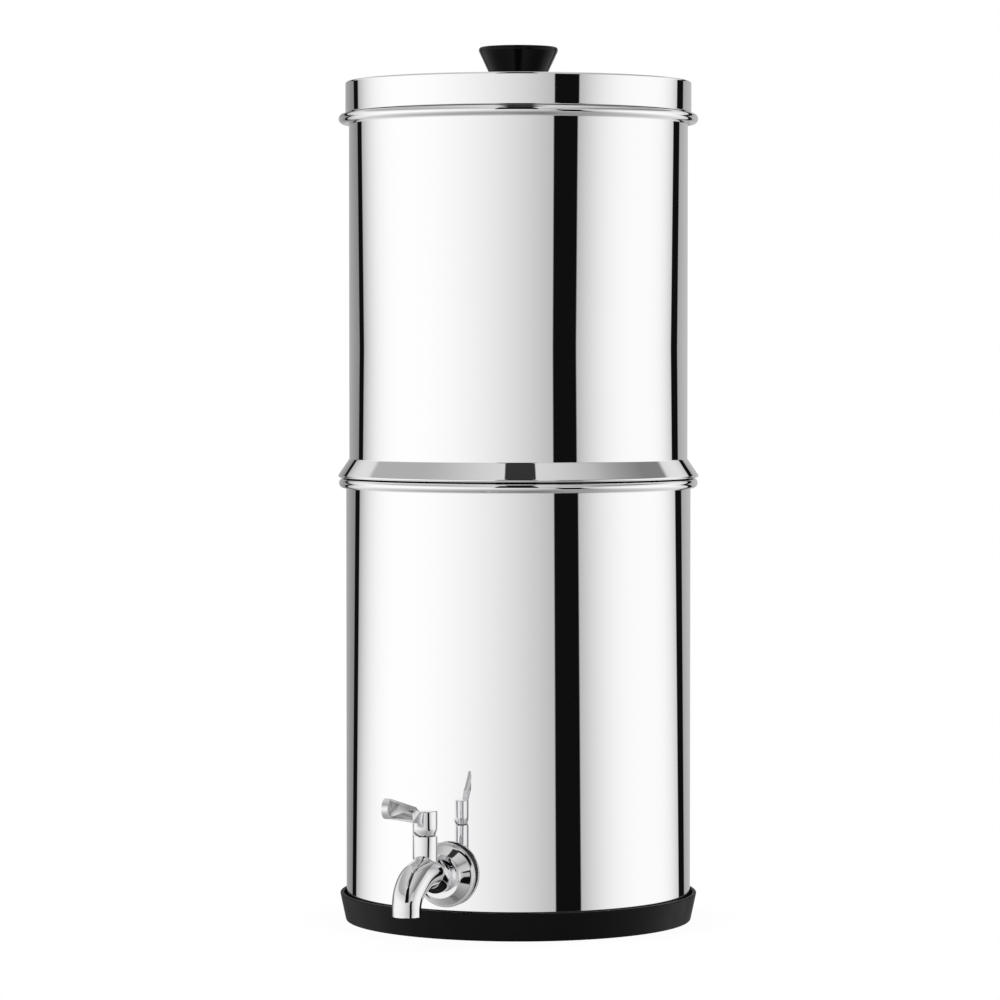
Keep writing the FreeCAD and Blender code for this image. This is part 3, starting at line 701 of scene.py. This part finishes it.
def panel_glow(tree, bearing, panel):
    """Brightness of a wall panel, which fades from its brightest bearing towards both ends."""
    glow = None
    for end, end_level, power in ((panel["start"], panel["start_level"], panel["start_power"]),
                                  (panel["end"], panel["end_level"], panel["end_power"])):
        share = remap(tree, bearing, panel["peak"], end, 0.0, 1.0)
        drop = maths(tree, "MULTIPLY", maths(tree, "POWER", share, power), panel["level"] - end_level)
        glow = maths(tree, "SUBTRACT", panel["level"] if glow is None else glow, drop)
    inside = between(tree, bearing, panel["start"], panel["end"], 0.5)
    return maths(tree, "MULTIPLY", glow, inside)


WALL_PANELS = (
    {"start": -129.5, "start_level": 0.42, "start_power": 3.0, "peak": -79.0, "level": 1.06,
     "end": 23.0, "end_level": 0.52, "end_power": 2.0},
    {"start": 39.2, "start_level": 0.50, "start_power": 2.8, "peak": 92.0, "level": 1.03,
     "end": 126.6, "end_level": 0.60, "end_power": 3.0},
    {"start": 137.6, "start_level": 0.38, "start_power": 2.0, "peak": 168.0, "level": 0.52,
     "end": 222.5, "end_level": 0.25, "end_power": 1.5},
)
GAP_LEVEL = 0.005
CEILING_FRONT = 0.70
CEILING_SIDE = 0.45
CEILING_RIGHT_SHARE = 0.5
CEILING_SLOT = 0.035
GROUND_LEVEL = 0.3
HIGH_WALL_SHARE = 0.72
GAP_LEAN = 0.72
BRIDGE = (23.0, 39.2)
BRIDGE_LEVEL = 0.75
CEILING_EDGE = (0.49, 0.53)
SLOT_ASIDE = (-0.115, 0.148)
SLOT_AHEAD = (-0.2, 1.2)
BOOM_BEARING = (-15.0, 13.0)
BOOM_HEIGHT = (0.15, 0.80)
WRAP_BEARING = -133.5


def studio_light(tree, settings):
    """Brightness of the studio for a ray's direction, measured from the camera's bearing."""
    coordinates = tree.nodes.new("ShaderNodeTexCoord").outputs["Generated"]
    parts = tree.nodes.new("ShaderNodeSeparateXYZ")
    turn = tree.nodes.new("ShaderNodeVectorRotate")
    turn.rotation_type = "Z_AXIS"
    turn.inputs["Angle"].default_value = -settings.azimuth
    tree.links.new(coordinates, turn.inputs["Vector"])
    tree.links.new(turn.outputs["Vector"], parts.inputs["Vector"])
    x, y, z = (parts.outputs[axis] for axis in "XYZ")
    facing = maths(tree, "MULTIPLY", y, -1.0)
    bearing = maths(tree, "DEGREES", maths(tree, "ARCTAN2", x, facing))
    steepness = maths(tree, "ABSOLUTE", z)
    lean = remap(tree, steepness, 0.0, 0.5, 1.0, GAP_LEAN)
    leaning = maths(tree, "MULTIPLY", bearing, lean)
    behind = maths(tree, "MULTIPLY", maths(tree, "LESS_THAN", leaning, WRAP_BEARING), 360.0)
    leaning = maths(tree, "ADD", leaning, behind)
    walls = GAP_LEVEL
    for panel in WALL_PANELS:
        walls = maths(tree, "ADD", panel_glow(tree, leaning, panel), walls)
    off_level = maths(tree, "MAXIMUM", z, maths(tree, "SUBTRACT", -0.3, z))
    bridge = maths(tree, "MULTIPLY", between(tree, leaning, *BRIDGE, 0.5),
                   remap(tree, off_level, 0.14, 0.20, 0.0, BRIDGE_LEVEL, True))
    walls = maths(tree, "ADD", walls, bridge)
    walls = maths(tree, "MULTIPLY", walls, remap(tree, z, -1.0, -0.15, GROUND_LEVEL, 1.0))
    walls = maths(tree, "MULTIPLY", walls, remap(tree, z, 0.15, 0.5, 1.0, HIGH_WALL_SHARE))
    height = maths(tree, "MAXIMUM", z, 0.05)
    aside = maths(tree, "DIVIDE", x, height)
    ahead = maths(tree, "DIVIDE", facing, height)
    front = remap(tree, maths(tree, "ABSOLUTE", aside), 0.1, 0.9, CEILING_FRONT, CEILING_SIDE, True)
    front = maths(tree, "MULTIPLY", front, remap(tree, aside, 0.65, 1.1, 1.0, CEILING_RIGHT_SHARE))
    slot = maths(tree, "MULTIPLY", between(tree, aside, *SLOT_ASIDE, 0.006),
                 between(tree, ahead, *SLOT_AHEAD, 0.02))
    ceiling = mixed(tree, slot, front, CEILING_SLOT)
    studio = mixed(tree, remap(tree, z, *CEILING_EDGE, 0.0, 1.0, True), walls, ceiling)
    boom = maths(tree, "MULTIPLY", between(tree, bearing, *BOOM_BEARING, 1.0),
                 between(tree, z, *BOOM_HEIGHT, 0.025))
    return mixed(tree, boom, studio, GAP_LEVEL)


def mixed(tree, factor, first, second):
    """Value part of the way from the first to the second."""
    node = tree.nodes.new("ShaderNodeMix")
    for label, setting in {"Factor": factor, "A": first, "B": second}.items():
        if isinstance(setting, bpy.types.NodeSocket):
            tree.links.new(setting, node.inputs[label])
        else:
            node.inputs[label].default_value = setting
    return node.outputs["Result"]


def background(tree, strength):
    node = tree.nodes.new("ShaderNodeBackground")
    node.inputs["Color"].default_value = (1, 1, 1, 1)
    if isinstance(strength, bpy.types.NodeSocket):
        tree.links.new(strength, node.inputs["Strength"])
    else:
        node.inputs["Strength"].default_value = strength
    return node.outputs["Background"]


def chosen(tree, factor, first, second):
    """Shader that is the second where the factor is one."""
    node = tree.nodes.new("ShaderNodeMixShader")
    tree.links.new(factor, node.inputs["Fac"])
    tree.links.new(first, node.inputs[1])
    tree.links.new(second, node.inputs[2])
    return node.outputs["Shader"]


def add_world(settings):
    """Studio of pale walls, with dark gaps between them, that only the metal sees."""
    world = bpy.data.worlds.new("Studio")
    bpy.context.scene.world = world
    world.use_nodes = True
    tree = world.node_tree
    tree.nodes.clear()
    path = tree.nodes.new("ShaderNodeLightPath")
    studio = background(tree, studio_light(tree, settings))
    lit = chosen(tree, path.outputs["Is Glossy Ray"], background(tree, settings.fill), studio)
    final = chosen(tree, path.outputs["Is Camera Ray"], lit, background(tree, 1.0))
    output = tree.nodes.new("ShaderNodeOutputWorld")
    tree.links.new(final, output.inputs["Surface"])


FLOOR_RADIUS = 1.2


def floor_material(settings):
    """White table that darkens softly where the filter stands and stays out of the metal's sight."""
    material = bpy.data.materials.new("Studio Floor")
    material.use_nodes = True
    tree = material.node_tree
    tree.nodes.clear()
    shade_occlusion = tree.nodes.new("ShaderNodeAmbientOcclusion")
    shade_occlusion.samples = 16
    shade_occlusion.inputs["Distance"].default_value = settings.shadow_reach
    shade = remap(tree, shade_occlusion.outputs["AO"], 0.5, 1.0, settings.shadow, 1.0, True)
    seen = tree.nodes.new("ShaderNodeEmission")
    tree.links.new(shade, seen.inputs["Strength"])
    body = tree.nodes.new("ShaderNodeBsdfDiffuse")
    body.inputs["Color"].default_value = (0.8, 0.8, 0.8, 1)
    clear = tree.nodes.new("ShaderNodeBsdfTransparent")
    path = tree.nodes.new("ShaderNodeLightPath")
    hidden = chosen(tree, path.outputs["Is Glossy Ray"], body.outputs["BSDF"], clear.outputs["BSDF"])
    final = chosen(tree, path.outputs["Is Camera Ray"], hidden, seen.outputs["Emission"])
    output = tree.nodes.new("ShaderNodeOutputMaterial")
    tree.links.new(final, output.inputs["Surface"])
    return material


class FILTER_OT_stage(bpy.types.Operator):
    """Set the floor, the studio light and the camera"""
    bl_idname = "water_filter.stage"
    bl_label = "Stage"

    def execute(self, context):
        settings = context.scene.filter_studio
        add_world(settings)
        bm = bmesh.new()
        bmesh.ops.create_circle(bm, cap_ends=True, radius=FLOOR_RADIUS, segments=96)
        floor = bpy.data.objects.new("floor", mesh_from(bm, "floor"))
        context.scene.collection.objects.link(floor)
        floor.data.materials.append(floor_material(settings))
        add_camera(settings)
        context.scene.view_settings.view_transform = "Standard"
        return {"FINISHED"}


class FILTER_PT_panel(bpy.types.Panel):
    """Builds the filter piece by piece"""
    bl_idname = "FILTER_PT_panel"
    bl_label = "Water Filter"
    bl_space_type = "VIEW_3D"
    bl_region_type = "UI"
    bl_category = "Water Filter"

    def draw(self, context):
        for operator in OPERATORS:
            self.layout.operator(operator.bl_idname)
        for owner in ("filter_chambers", "filter_lid", "filter_ring", "filter_colours", "filter_studio"):
            group = getattr(context.scene, owner)
            box = self.layout.box()
            for name in group.__annotations__:
                box.prop(group, name)


GROUPS = {
    "filter_chambers": ChamberSizes, "filter_lid": LidSizes, "filter_ring": RingSizes,
    "filter_colours": FinishColours, "filter_studio": StudioSettings,
}
OPERATORS = (FILTER_OT_chambers, FILTER_OT_lid, FILTER_OT_base_ring, FILTER_OT_tap, FILTER_OT_inner_parts,
             FILTER_OT_stage)


def register():
    for owner, group in GROUPS.items():
        bpy.utils.register_class(group)
        setattr(bpy.types.Scene, owner, PointerProperty(type=group))
    for operator in OPERATORS:
        bpy.utils.register_class(operator)
    bpy.utils.register_class(FILTER_PT_panel)


def unregister():
    bpy.utils.unregister_class(FILTER_PT_panel)
    for operator in reversed(OPERATORS):
        bpy.utils.unregister_class(operator)
    for owner, group in reversed(list(GROUPS.items())):
        delattr(bpy.types.Scene, owner)
        bpy.utils.unregister_class(group)


def main():
    register()
    bpy.ops.water_filter.chambers()
    bpy.ops.water_filter.lid()
    bpy.ops.water_filter.base_ring()
    bpy.ops.water_filter.tap()
    bpy.ops.water_filter.inner_parts()
    bpy.ops.water_filter.stage()


if __name__ == "__main__":
    main()
